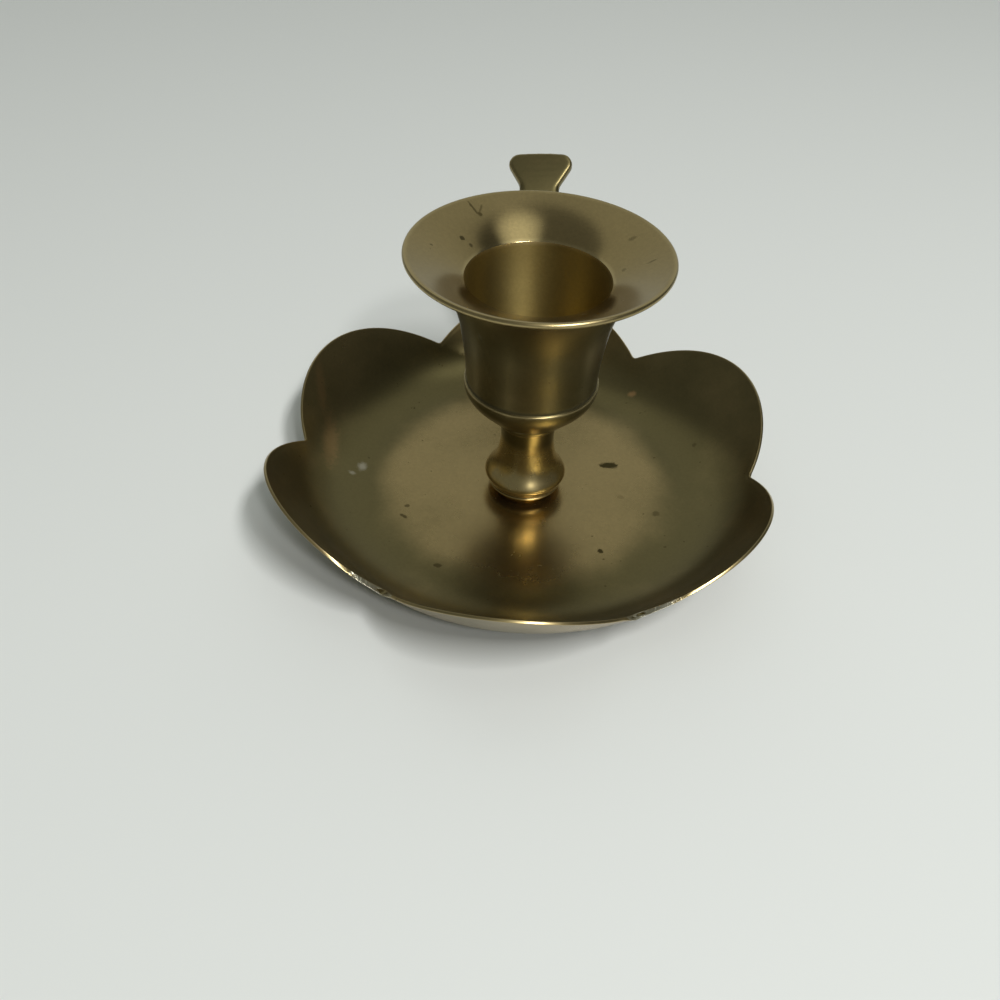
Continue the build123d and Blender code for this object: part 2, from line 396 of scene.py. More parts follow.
# Points on the funnel and on the bowl, as shares of the way out and of the way up
FUNNEL_SHARES = ((0.65, 0.71), (0.30, 0.36))
BOWL_SHARE = (0.48, 0.28)
EDGE_EASE = 0.14 * MM
MOUTH_EASE = 0.10 * MM
BEAD_EASE = 0.2 * MM
# The straight mouth runs into the tapered bore with a wide curve
BORE_EASE = 55 * MM
# The collar's bead and the lip as arcs: first and last direction in degrees, and steps
BEAD_ARC = (-80, 80, 10)
LIP_ARC = (-75, 90, 9)


def cup_outline(cup):
    rim = RIM_RADIUS - cup.lip / 2
    lip_middle = RIM_TOP - cup.lip / 2
    mouth_height = RIM_TOP - cup.funnel_depth
    land_low = mouth_height - cup.mouth_land
    bore_floor = mouth_height - cup.bore_depth
    bowl_low = STEM_TOP + cup.collar_height
    ledge_low = bowl_low + cup.bowl_height
    ledge_top = ledge_low + cup.ledge_height
    wall_top = lip_middle - cup.lip / 2
    foot = cup.wall_foot_diameter / 2
    ledge = cup.ledge_diameter / 2
    collar = cup.collar_diameter / 2
    mouth = cup.mouth_diameter / 2
    thread = cup.socket_diameter / 2
    seat_end = cup.seat_end_diameter / 2
    bead = cup.collar_height / 2
    thread_top = STEM_TOP + cup.socket_depth
    wall = [(foot, ledge_top)]
    wall += [(between(foot, rim, out), between(ledge_top, wall_top, up)) for up, out in WALL_SHARES]
    wall += [(rim, wall_top)]
    funnel = [(rim, RIM_TOP)]
    funnel += [(between(mouth, rim, out), between(mouth_height, RIM_TOP, up)) for out, up in FUNNEL_SHARES]
    funnel += [(mouth, mouth_height)]
    bowl_middle = (between(collar, ledge, BOWL_SHARE[0]), between(bowl_low, ledge_low, BOWL_SHARE[1]))
    bowl = [(collar, bowl_low), bowl_middle, (ledge, ledge_low)]
    corners = [(0.0, thread_top), (thread, thread_top), (thread, STEM_TOP)]
    corners += arc((collar - bead, STEM_TOP + bead), bead, *BEAD_ARC)
    corners += smooth_curve(bowl, start=(1, 0), end=(0, 1))[1:-1]
    corners += [(ledge, ledge_low + cup.ledge_height / 4), (ledge, ledge_top, BEAD_EASE)]
    corners += [(foot, ledge_top, EDGE_EASE)]
    corners += smooth_curve(wall)[1:-1]
    corners += arc((rim, lip_middle), cup.lip / 2, *LIP_ARC)
    corners += smooth_curve(funnel)[1:-1]
    corners += [(mouth, mouth_height, MOUTH_EASE), (mouth, land_low, BORE_EASE)]
    corners += [(seat_end, bore_floor, cup.bore_corner), (0.0, bore_floor)]
    return spaced(eased(corners))


class CHAMBERSTICK_OT_candle_cup(Operator):
    """Makes the turned candle socket with its flared drip rim."""

    bl_idname = "chamberstick.candle_cup"
    bl_label = "Candle Cup"

    def execute(self, context):
        settings = context.scene.chamberstick
        made = piece("candle_socket", turned_mesh(cup_outline(settings.cup)))
        settle(made, "candle_cup", "socket_brass", settings.colours)
        return {"FINISHED"}


# The stem

# From the knop up to the waist, as shares of the stem's height and of the knop's radius
BELL_SHARES = ((0.268, 0.978), (0.300, 0.938), (0.355, 0.858), (0.428, 0.772), (0.51, 0.712), (0.60, 0.674))
LINE_EASE = 0.08 * MM
STEM_SPACING = 0.3 * MM


def stem_outline(stem):
    tall = STEM_TOP - FLOOR_TOP
    ring = stem.ring_diameter / 2
    groove = stem.groove_diameter / 2
    neck = stem.neck_diameter / 2
    knop = stem.knop_diameter / 2
    spigot = stem.spigot_diameter / 2
    ring_top = FLOOR_TOP + stem.ring_height
    groove_top = ring_top + stem.groove_height
    line = knop * stem.line_radius_share
    line_low = FLOOR_TOP + tall * stem.line_share
    line_top = line_low + stem.line_height
    line_foot = line - stem.line_depth
    knop_height = FLOOR_TOP + tall * stem.knop_share
    side = [(knop * out, FLOOR_TOP + tall * up) for up, out in BELL_SHARES]
    side += [(stem.waist_diameter / 2, FLOOR_TOP + tall * stem.waist_share), (neck, STEM_TOP)]
    corners = [(0.0, FLOOR_TOP), (ring, FLOOR_TOP, BEAD_EASE), (ring, ring_top, BEAD_EASE)]
    corners += [(groove, ring_top), (groove, groove_top), (line_foot, line_low)]
    corners += [(line, line_low, LINE_EASE), (line, line_top, LINE_EASE), (line_foot, line_top)]
    corners += [(knop, knop_height, stem.knop_edge)]
    corners += smooth_curve(side, spacing=STEM_SPACING)
    corners += [(spigot, STEM_TOP), (spigot, STEM_HIGH.z), (0.0, STEM_HIGH.z)]
    return spaced(eased(corners), STEM_SPACING)


class CHAMBERSTICK_OT_stem(Operator):
    """Makes the turned stem."""

    bl_idname = "chamberstick.stem"
    bl_label = "Stem"

    def execute(self, context):
        settings = context.scene.chamberstick
        made = piece("baluster_stem", turned_mesh(stem_outline(settings.stem)))
        settle(made, "stem", "stem_brass", settings.colours)
        return {"FINISHED"}


# The petal dish

# How much longer each petal is, in millimetres, from the back one anticlockwise
TIP_TRIMS = (0.0, -0.3, 0.5, 0.0, -0.9, -0.1)
WALL_RINGS = 26
FLOOR_RINGS = 14
LIP_RINGS = 4
# Extra rings of points just below the lip
LIP_SETBACKS = (0.5 * MM, 0.2 * MM)
# Where a file has cut the lip, as the azimuth of each cut's deep end and the way it runs out
FACETS = ((238.5, -13.0), (295.0, 13.0))
# A cut rises from a little before its deep end, and runs out with this power
FACET_LEAD = 0.3
FACET_RISE = 0.35
FACET_FALL = 1.3
# How far down the wall a cut is felt, as a multiple of its width
FACET_SPREAD = 3
RING_CORNER = 0.3 * MM
RING_SPACING = 3 * MM


class PetalWall:
    """The dish's wall as two arcs: floor to notch, then notch to petal tip."""

    def __init__(self, dish):
        self.dish = dish
        self.notch = dish.tip_radius - dish.petal_depth
        self.floor = self.notch - dish.wall_reach
        self.height = (FLOOR_TOP + FLOOR_UNDER) / 2
        self.notch_slope = 2 * math.atan2(dish.notch_rise, dish.wall_reach)
        self.lower_arc = dish.wall_reach / math.sin(self.notch_slope)
        rise = dish.tip_rise - dish.notch_rise
        chord_slope = math.atan2(rise, dish.petal_depth)
        self.upper_arc = math.hypot(rise, dish.petal_depth) / (2 * math.sin(chord_slope - self.notch_slope))
        self.lower_length = self.lower_arc * self.notch_slope

    def length_to(self, radius):
        # How far along the wall a circle of that radius lies
        sine = math.sin(self.notch_slope) + (radius - self.notch) / self.upper_arc
        return self.lower_length + self.upper_arc * (math.asin(sine) - self.notch_slope)

    def point(self, along, offset):
        # Offset is square to the wall and positive towards the outside
        if along < self.lower_length:
            slope = along / self.lower_arc
            radius = self.floor + self.lower_arc * math.sin(slope)
            height = self.height + self.lower_arc * (1 - math.cos(slope))
        else:
            slope = self.notch_slope + (along - self.lower_length) / self.upper_arc
            radius = self.notch + self.upper_arc * (math.sin(slope) - math.sin(self.notch_slope))
            height = self.height + self.dish.notch_rise
            height += self.upper_arc * (math.cos(self.notch_slope) - math.cos(slope))
        return radius + offset * math.sin(slope), height - offset * math.cos(slope)

    def thickness(self, part):
        return between(self.dish.floor, self.dish.lip, part)

    def petal_edge(self, turn, index):
        # The petal's outline is a circle through its tip and both of its notches
        half = math.pi / self.dish.petals
        tip = self.dish.tip_radius + TIP_TRIMS[index % len(TIP_TRIMS)] * MM
        centre = (tip**2 - self.notch**2) / (2 * (tip - self.notch * math.cos(half)))
        reach = (tip - centre) ** 2 - (centre * math.sin(turn)) ** 2
        return centre * math.cos(turn) + math.sqrt(max(reach, 0.0))

    def edge_radius(self, azimuth):
        step = math.tau / self.dish.petals
        turn = azimuth - math.pi / 2 - self.dish.turn
        index = round(turn / step)
        here = turn - index * step
        beside = 1 if here > 0 else -1
        own = self.petal_edge(here, index)
        other = self.petal_edge(here - beside * step, index + beside)
        blend = self.dish.notch_blend
        near = max(blend - abs(own - other), 0.0) / blend
        return max(own, other) + near**2 * blend / 4

    def facet_share(self, azimuth):
        # 1 where a file has cut deepest, running out to 0
        deepest = 0.0
        for start, reach in FACETS:
            along = (math.degrees(azimuth) % 360 - start) / reach
            if -FACET_LEAD < along < 1:
                rise = math.sin(min(1.0, (along + FACET_LEAD) / FACET_RISE) * math.pi / 2) ** 2
                deepest = max(deepest, rise * (1 - max(along, 0.0)) ** FACET_FALL)
        return deepest

    def notch_nearness(self, azimuth):
        # 1 on the line of a notch, falling to 0 at the sides of its ridge
        step = math.tau / self.dish.petals
        turn = azimuth - math.pi / 2 - self.dish.turn - step / 2
        away = abs(turn - round(turn / step) * step)
        return math.exp(-((away / self.dish.ridge_width) ** 2))

    def spoke(self, azimuth):
        # The wall's length on one line out from the axis, its nearness to a notch and its file cut
        reach = self.length_to(self.edge_radius(azimuth))
        return reach, self.notch_nearness(azimuth), self.facet_share(azimuth)

    def petal_point(self, spoke, part, extra, offset):
        # The filed lip is drawn in on the inside and swells on the outside
        reach, nearness, filed = spoke
        dish = self.dish
        along = part * reach + extra
        inside = 0.5 - offset / self.thickness(part)
        filed *= max(1 - (reach - along) / (FACET_SPREAD * dish.facet), 0.0)
        along -= dish.facet * filed * inside
        offset += dish.facet_swell * filed * (1 - inside) - dish.ridge * nearness * part**2
        return self.point(along, offset)


def side_rows(dish, wall, side):
    # One side of the wall from the floor up to the lip: -1 is the inside and 1 the outside
    rounding = dish.lip_rounding
    rows = []
    for i in range(WALL_RINGS + 1):
        part = i / WALL_RINGS
        rows.append((part, -rounding * part, side * wall.thickness(part) / 2, 0, 0))
    for setback in LIP_SETBACKS:
        rows.insert(-1, (1.0, -rounding - setback, side * wall.thickness(1.0) / 2, 0, 0))
    for i in range(1, LIP_RINGS + 1):
        turn = math.radians(90 * i / LIP_RINGS)
        offset = dish.lip / 2 - rounding + rounding * math.cos(turn)
        rows.append((1.0, rounding * (math.sin(turn) - 1), side * offset, 0, 0))
    return rows


def dish_profile(dish, wall):
    # Each point is (share of the wall, extra length, offset, radius, height)
    # Points off the wall have no share, and points on it get their radius and height later
    ring_outer = wall.floor - dish.ring_setback
    ring_inner = ring_outer - dish.ring_width
    hole = dish.hole_diameter / 2
    rows = []
    for i in range(FLOOR_RINGS):
        rows.append((None, 0, 0, between(hole, wall.floor, i / FLOOR_RINGS), FLOOR_TOP))
    rows += side_rows(dish, wall, -1)
    rows += [(1.0, 0, 0, 0, 0)]
    rows += reversed(side_rows(dish, wall, 1))
    corners = [
        (wall.floor, FLOOR_UNDER),
        (ring_outer, FLOOR_UNDER, RING_CORNER),
        (ring_outer, 0.0, RING_CORNER),
        (ring_inner, 0.0, RING_CORNER),
        (ring_inner, FLOOR_UNDER, RING_CORNER),
        (hole, FLOOR_UNDER),
        (hole, FLOOR_TOP),
    ]
    for radius, height in spaced(eased(corners), RING_SPACING)[1:-1]:
        rows.append((None, 0, 0, radius, height))
    return rows


def dish_mesh(dish):
    wall = PetalWall(dish)
    bm = bmesh.new()
    share_layer = bm.verts.layers.float.new("wall_share")
    extra_layer = bm.verts.layers.float.new("extra_length")
    offset_layer = bm.verts.layers.float.new("offset")
    full = wall.length_to(dish.tip_radius)
    vertices = []
    for part, extra, offset, radius, height in dish_profile(dish, wall):
        if part is not None:
            radius, height = wall.point(part * full + extra, offset)
        vertex = bm.verts.new((radius, 0.0, height))
        vertex[share_layer] = -1.0 if part is None else part
        vertex[extra_layer] = extra
        vertex[offset_layer] = offset
        vertices.append(vertex)
    edges = [bm.edges.new(pair) for pair in zip(vertices, vertices[1:] + vertices[:1])]
    spin_profile(bm, edges, DISH_STEPS)
    spokes = {}
    for vertex in bm.verts:
        part = vertex[share_layer]
        if part < 0:
            continue
        azimuth = math.atan2(vertex.co.y, vertex.co.x)
        index = round(azimuth / math.tau * DISH_STEPS)
        if index not in spokes:
            spokes[index] = wall.spoke(azimuth)
        extra, offset = vertex[extra_layer], vertex[offset_layer]
        radius, height = wall.petal_point(spokes[index], part, extra, offset)
        vertex.co = (radius * math.cos(azimuth), radius * math.sin(azimuth), height)
    bmesh.ops.recalc_face_normals(bm, faces=bm.faces)
    return bm


class CHAMBERSTICK_OT_petal_dish(Operator):
    """Makes the petal drip dish on its foot ring."""

    bl_idname = "chamberstick.petal_dish"
    bl_label = "Petal Dish"

    def execute(self, context):
        settings = context.scene.chamberstick
        made = piece("drip_dish", dish_mesh(settings.dish))
        settle(made, "petal_dish", "dish_brass", settings.colours)
        return {"FINISHED"}


# The finger loop

# The root's places along the petal, and where it ends on the ring, in degrees
ROOT_SHARES = (-0.10, 0.92)
ROOT_BACK_SHARES = (0.75, 0.40, 0.15, -0.10)
ROOT_TURNS = (222, 258)
ROOT_ROWS = 10
ROOT_SLICES = 8
# How finely the casting is made in one, and how often its surface is smoothed
VOXEL = 0.17 * MM
SMOOTH_ROUNDS = 14
SMOOTH_FACTOR = 0.5
# Rows along the thumb plate, points on its bowed end as shares of half its width, and its bevels
PLATE_ROWS = 8
BOW_SHARES = (0.3, 0.15, 0.0, -0.15, -0.3)
BEVEL_STEPS = 3
# Edges above this share of the plate's thickness get the wider bevel
TOP_SHARE = 0.49


def loop_middle(loop, wall):
    # The middle of the finger hole, as how far back it is and its height
    back = loop.hole_diameter / 2 + loop.thickness
    return LOOP_HIGH.y - back, wall.height + wall.dish.tip_rise + loop.rise


def ring_point(loop, centre, turn):
    middle = (loop.hole_diameter + loop.thickness) / 2
    return centre[0] + middle * math.cos(turn), centre[1] + middle * math.sin(turn)


def add_ring(bm, loop, centre):
    inner = loop.hole_diameter / 2
    outer = inner + loop.thickness
    half = loop.width / 2
    ease = loop.rounding
    section = eased([(inner, -half, ease), (outer, -half, ease), (outer, half, ease), (inner, half, ease)])
    part = turned_mesh(section + section[:1], TURN_STEPS // 2)
    matrix = Matrix.Translation((0, *centre)) @ Matrix.Rotation(math.radians(90), 4, "Y")
    bmesh.ops.transform(part, matrix=matrix, verts=part.verts)
    join(bm, part)


def join(bm, part):
    mesh = bpy.data.meshes.new("part")
    part.to_mesh(mesh)
    part.free()
    bm.from_mesh(mesh)
    bpy.data.meshes.remove(mesh)


def slab(points, thickness):
    # A plate between two copies of a flat outline, whose points are (across, up)
    part = bmesh.new()
    face = part.faces.new([part.verts.new((across, up, -thickness / 2)) for across, up in points])
    grown = bmesh.ops.extrude_face_region(part, geom=[face])["geom"]
    top = [item for item in grown if isinstance(item, bmesh.types.BMVert)]
    bmesh.ops.translate(part, verts=top, vec=(0, 0, thickness))
    bmesh.ops.recalc_face_normals(part, faces=part.faces)
    return part


def add_root(bm, loop, wall, centre):
    # The root follows the outside of the petal, and is bent round the axis as the petal is
    tip_length = wall.length_to(wall.dish.tip_radius)

    def along(part):
        return between(wall.lower_length, tip_length, part)

    def skin(part):
        return wall.thickness(along(part) / tip_length) / 2

    shares = [between(*ROOT_SHARES, i / ROOT_ROWS) for i in range(ROOT_ROWS + 1)]
    outline = [wall.point(along(part), skin(part)) for part in shares]
    outline += [ring_point(loop, centre, math.radians(turn)) for turn in ROOT_TURNS]
    outline += [wall.point(along(part), skin(part) + loop.root_thickness) for part in ROOT_BACK_SHARES]
    part = slab(outline, loop.width)
    half = loop.width / 2
    long_edges = [edge for edge in part.edges if abs(edge.verts[0].co.z - edge.verts[1].co.z) > half]
    bmesh.ops.subdivide_edges(part, edges=long_edges, cuts=ROOT_SLICES, use_grid_fill=True)
    for vertex in part.verts:
        reach, height, across = vertex.co
        turn = across / reach
        vertex.co = (reach * math.sin(turn), reach * math.cos(turn), height)
    bmesh.ops.recalc_face_normals(part, faces=part.faces)
    join(bm, part)


def plate_outline(loop):
    neck = loop.plate_neck_width / 2
    end = loop.plate_end_width / 2
    low = loop.plate_length - loop.plate_bow
    right = [
        (neck, 0.0),
        (neck, loop.plate_neck_length, loop.plate_neck_rounding),
        (end, low, loop.plate_corner),
    ]
    bow = [(end * part, loop.plate_length - loop.plate_bow * part**2) for part in BOW_SHARES]
    left = [(-across, *rest) for across, *rest in reversed(right)]
    return eased(right + bow + left)


def plate_rims(part, left=-math.inf):
    # The edges round both faces of the plate, to the right of a place across it
    rims = [edge for edge in part.edges if edge.verts[0].co.z * edge.verts[1].co.z > 0]
    rims = [edge for edge in rims if max(vertex.co.y for vertex in edge.verts) > 0]
    return [edge for edge in rims if left < (edge.verts[0].co.x + edge.verts[1].co.x) / 2]


def bevel_rims(part, rims, offset):
    bmesh.ops.bevel(
        part, geom=rims, offset=offset, segments=BEVEL_STEPS, profile=0.5, affect="EDGES", material=-1
    )


def twist_plate(part, loop):
    for step in range(1, PLATE_ROWS):
        everything = [*part.verts, *part.edges, *part.faces]
        place = (0, loop.plate_length * step / PLATE_ROWS, 0)
        bmesh.ops.bisect_plane(part, geom=everything, dist=WELD, plane_co=place, plane_no=(0, 1, 0))
    for vertex in part.verts:
        turn = loop.plate_twist * min(max(vertex.co.y / loop.plate_length, 0.0), 1.0)
        across, up = vertex.co.x, vertex.co.z
        vertex.co.x = across * math.cos(turn) - up * math.sin(turn)
        vertex.co.z = up * math.cos(turn) + across * math.sin(turn)


def add_thumb_plate(bm, loop, centre):
    # Its upper face runs on from the outside of the ring
    turn = math.radians(90) + loop.plate_slope
    start = ring_point(loop, centre, turn)
    part = slab(plate_outline(loop), loop.plate_thickness)
    right = loop.plate_neck_width / 2 - loop.plate_bevel
    wide = [edge for edge in plate_rims(part, right) if edge.verts[0].co.z > 0]
    others = [edge for edge in plate_rims(part) if edge not in wide]
    bevel_rims(part, others, loop.plate_bevel)
    # The first bevels have split those edges
    top = loop.plate_thickness * TOP_SHARE
    wide = [edge for edge in plate_rims(part, right) if edge.verts[0].co.z > top]
    bevel_rims(part, wide, loop.plate_side_bevel)
    twist_plate(part, loop)
    raised = Matrix.Translation((0, 0, (loop.thickness - loop.plate_thickness) / 2))
    matrix = Matrix.Translation((0, *start)) @ Matrix.Rotation(loop.plate_slope, 4, "X") @ raised
    bmesh.ops.transform(part, matrix=matrix, verts=part.verts)
    bmesh.ops.recalc_face_normals(part, faces=part.faces)
    join(bm, part)


def cast_in_one(bm, name):
    # The overlapping shells become one skin, as a casting is
    made = piece(name, bm)
    remesh = made.modifiers.new("one_skin", "REMESH")
    remesh.mode = "VOXEL"
    remesh.voxel_size = VOXEL
    graph = bpy.context.evaluated_depsgraph_get()
    skin = bpy.data.meshes.new_from_object(made.evaluated_get(graph))
    made.modifiers.clear()
    made.data = skin
    return made


def smooth_cast(made):
    bm = bmesh.new()
    bm.from_mesh(made.data)
    for _ in range(SMOOTH_ROUNDS):
        bmesh.ops.smooth_vert(
            bm, verts=bm.verts, factor=SMOOTH_FACTOR, use_axis_x=True, use_axis_y=True, use_axis_z=True
        )
    bmesh.ops.recalc_face_normals(bm, faces=bm.faces)
    for face in bm.faces:
        face.smooth = True
    bm.to_mesh(made.data)
    bm.free()


class CHAMBERSTICK_OT_finger_loop(Operator):
    """Makes the finger loop, cast in one with its root and thumb plate."""

    bl_idname = "chamberstick.finger_loop"
    bl_label = "Finger Loop"

    def execute(self, context):
        settings = context.scene.chamberstick
        loop = settings.loop
        wall = PetalWall(settings.dish)
        centre = loop_middle(loop, wall)
        bm = bmesh.new()
        add_ring(bm, loop, centre)
        add_root(bm, loop, wall, centre)
        add_thumb_plate(bm, loop, centre)
        made = cast_in_one(bm, "loop_casting")
        smooth_cast(made)
        settle(made, "finger_loop", "loop_brass", settings.colours)
        return {"FINISHED"}


# The fasteners

# The rivets' places along the petal
RIVET_SHARES = (0.27, 0.70)
DOME_STEPS = 10


def rivet_outline(fasteners, dish, loop):
    head = fasteners.rivet_head_diameter / 2
    tall = fasteners.rivet_head_height
    shank = fasteners.rivet_diameter / 2
    dome = (head**2 + tall**2) / (2 * tall)
    reach = math.degrees(math.asin(head / dome))
    ease = fasteners.edge / 2
    low = -dish.lip / 2
    high = dish.lip / 2 + loop.root_thickness
    points = arc((0.0, low - tall + dome), dome, -90, reach - 90, DOME_STEPS)[:-1]
    points += [(head, low, ease), (shank, low), (shank, high), (head, high, ease)]
    points += arc((0.0, high + tall - dome), dome, 90 - reach, 90, DOME_STEPS)[1:]
    return eased(points)


class CHAMBERSTICK_OT_loop_rivets(Operator):
    """Makes the two domed rivets that hold the loop's root to its petal."""

    bl_idname = "chamberstick.loop_rivets"
    bl_label = "Loop Rivets"

    def execute(self, context):
        settings = context.scene.chamberstick
        wall = PetalWall(settings.dish)
        tip_length = wall.length_to(settings.dish.tip_radius)
        outline = rivet_outline(settings.fasteners, settings.dish, settings.loop)
        bm = bmesh.new()
        for part in RIVET_SHARES:
            along = between(wall.lower_length, tip_length, part)
            middle = Vector((0, *wall.point(along, 0.0)))
            outside = Vector((0, *wall.point(along, MM))) - middle
            rivet = turned_mesh(outline, TURN_STEPS // 4)
            matrix = Matrix.Translation(middle) @ outside.to_track_quat("Z", "X").to_matrix().to_4x4()
            bmesh.ops.transform(rivet, matrix=matrix, verts=rivet.verts)
            join(bm, rivet)
        made = piece("dome_rivets", bm)
        settle(made, "loop_rivets", "rivet_brass", settings.colours)
        return {"FINISHED"}


class CHAMBERSTICK_OT_stem_washer(Operator):
    """Makes the washer under the dish."""

    bl_idname = "chamberstick.stem_washer"
    bl_label = "Stem Washer"

    def execute(self, context):
        settings = context.scene.chamberstick
        ease = settings.fasteners.edge
        hole = settings.dish.hole_diameter / 2
        corners = [
            (hole, WASHER_LOW.z, ease),
            (WASHER_HIGH.x, WASHER_LOW.z, ease),
            (WASHER_HIGH.x, WASHER_HIGH.z, ease),
            (hole, WASHER_HIGH.z, ease),
        ]
        outline = eased(corners)
        made = piece("screw_washer", turned_mesh(outline + outline[:1], TURN_STEPS // 2))
        settle(made, "stem_washer", "washer_brass", settings.colours)
        return {"FINISHED"}


class CHAMBERSTICK_OT_stem_screw(Operator):
    """Makes the slotted screw that draws the stem onto the dish."""

    bl_idname = "chamberstick.stem_screw"
    bl_label = "Stem Screw"

    def execute(self, context):
        settings = context.scene.chamberstick
        sizes = settings.fasteners
        shank = sizes.screw_diameter / 2
        head_top = SCREW_LOW.z + sizes.head_height
        corners = [
            (0.0, SCREW_LOW.z),
            (SCREW_HIGH.x, SCREW_LOW.z, sizes.edge),
            (SCREW_HIGH.x, head_top, sizes.edge),
            (shank, head_top),
            (shank, SCREW_HIGH.z, sizes.edge),
            (0.0, SCREW_HIGH.z),
        ]
        made = piece("slotted_screw", turned_mesh(spaced(eased(corners)), TURN_STEPS // 2))
        cutter_mesh = bmesh.new()
        bmesh.ops.create_cube(cutter_mesh, size=1.0)
        slot = (sizes.screw_diameter * 3, sizes.slot_width, sizes.slot_depth * 2)
        bmesh.ops.scale(cutter_mesh, verts=cutter_mesh.verts, vec=slot)
        bmesh.ops.translate(cutter_mesh, verts=cutter_mesh.verts, vec=(0, 0, SCREW_LOW.z))
        cutter = piece("slot_cutter", cutter_mesh)
        cut = made.modifiers.new("slot", "BOOLEAN")
        cut.operation = "DIFFERENCE"
        cut.solver = "EXACT"
        cut.object = cutter
        graph = context.evaluated_depsgraph_get()
        made.data = bpy.data.meshes.new_from_object(made.evaluated_get(graph))
        made.modifiers.clear()
        bpy.data.objects.remove(cutter)
        settle(made, "stem_screw", "screw_brass", settings.colours)
        return {"FINISHED"}


# The brass

# An edge as round as this counts fully, and is spread to its neighbours this often
EDGE_RADIUS = 0.7 * MM
EDGE_SPREAD = 1
# Where the bore is, and how fast it and the funnel above it widen upwards
BORE_LOW = 24.0 * MM
BORE_HIGH = 43.3 * MM
BORE_TAPER = 0.12
FUNNEL_TAPER = 1.78
FUNNEL_EDGE = 0.2 * MM
# How much of the tarnish is gone from the bore and the funnel
BORE_CLEANING = 0.8
FUNNEL_CLEANING = 0.78
# How cloudy the tarnish is, and how it comes in from the dish's floor to its wall and goes at the tips
CLOUDING = 1.3
FLOOR_FADE = (-5 * MM, 3 * MM)
FLOOR_DRIFT = 8 * MM
WALL_TARNISH = 0.82
TIP_FADE = (32 * MM, 41 * MM)
TIP_TARNISH = -0.4
# Over this height the painted shade up under the socket comes in
PAINTED_SHADE_FADE = 4 * MM
# The levels between which a mask rises from 0 to 1, and how unevenly it does
WORN_RISE = (0.34, 0.95)
WORN_UNEVEN = 0.6
GRIME_RISE = (-0.15, -0.8)
GRIME_UNEVEN = 0.5
SPECK_RISE = (0.74, 0.80)
SPECK_AMOUNT = 0.6
GRAIN_RISE = (0.3, 0.7)
FILED_RISE = (0.0, 0.1)
MARK_RISE = (1.15, 0.65)
MARK_UNEVEN = 1.2
# The painted warm reflections and the wax crumbs get soft borders
SOFT_MARKS = ("painted_reflection", "wax")
SOFTNESS = 0.35
# How much of the grime counts as loose dirt, and what is added to the roughness
GRIME_SHARE = 0.5
MOTTLE_ROUGHNESS = 0.06
RING_ROUGHNESS = 0.10
ROUGHENING = (("tarnish", 0.06), ("bore", 0.16), ("funnel", -0.13), ("dirt", 0.4))
# The marks of the lathe tool run round the axis and stretch every highlight across them
RING_STRETCH = 3
RING_SLANT = 1.3
GROOVE_STRETCH = 0.7
BORE_STRETCH = 0.75
QUARTER_TURN = 0.25
RING_DEPTH = 0.003 * MM
GRAIN_DEPTH = 0.0015 * MM
FILE_DEPTH = 0.2 * MM
FILE_STRETCH = (0.35, 3.0, 3.0)


class Noise(NamedTuple):
    """A noise: the size of its patches, its detail, its roughness and what it adds to the seed."""

    size: float
    detail: float
    rough: float
    step: float = 0.0


CLOUD = Noise(13 * MM, 3.0, 0.45)
MOTTLE = Noise(2.2 * MM, 5.0, 0.65, 3)
GRAIN = Noise(0.5 * MM, 3.0, 0.6, 5)
RINGS = Noise(0.32 * MM, 2.0, 0.7, 7)
DRIFT = Noise(16 * MM, 1.0, 0.4, 9)
SPECKS = Noise(0.9 * MM, 1.0, 0.5, 11)
WAVES = Noise(7 * MM, 1.0, 0.4, 13)
FILE_CUTS = Noise(0.8 * MM, 2.0, 0.6, 15)
BORDER = Noise(0.6 * MM, 2.0, 0.6)


class Finish(NamedTuple):
    """How one piece of brass has aged."""

    seed: float
    tarnish: float
    roughness: float
    grooves: float = 0.0
    wave: float = 0.0
    mottle: float = 0.5
    floor_reach: float = 0.0
    bore_reach: float = 0.0
    # Height from which the piece is darkened with painted shade
    painted_shade_from: float = 0.0
    polish: float = 0.0


FINISHES = {
    "candle_cup": Finish(1.0, 0.8, 0.27, grooves=0.8, wave=0.008, mottle=0.08, bore_reach=11.8 * MM),
    # The stem's neck gets painted shade up under the socket
    "stem": Finish(2.0, 0.10, 0.26, grooves=0.6, mottle=0.3, polish=0.7, painted_shade_from=12.0 * MM),
    "petal_dish": Finish(3.0, 0.15, 0.26, grooves=0.1, wave=0.04, mottle=0.25, floor_reach=25.5 * MM),
    "finger_loop": Finish(4.0, 0.8, 0.28, wave=0.02),
    "loop_rivets": Finish(5.0, 0.6, 0.30),
    "stem_washer": Finish(6.0, 0.7, 0.32, grooves=0.4),
    "stem_screw": Finish(7.0, 0.7, 0.30, grooves=0.4),
}

# The coats of colour over the brass, from the lowest up: mask, colour and strength
COATS = (
    ("tarnish", "tarnish", 1.0),
    ("bore", "bore", 0.8),
    ("grain_dirt", "grime", 0.12),
    ("worn", "worn", 0.5),
    ("grime", "grime", 0.8),
    # Painted warm reflections and highlights on the dish's walls
    ("painted_reflection", "painted_reflection", 1.0),
    ("filed", "filed", 0.8),
    ("spots", "spot", 1.0),
    ("wax", "wax", 1.0),
)


class Mark(NamedTuple):
    """A spot on the brass: its middle, its half sizes and its turn, in millimetres and degrees."""

    kind: str
    place: tuple
    size: tuple
    turn: float = 0.0
    amount: float = 1.0


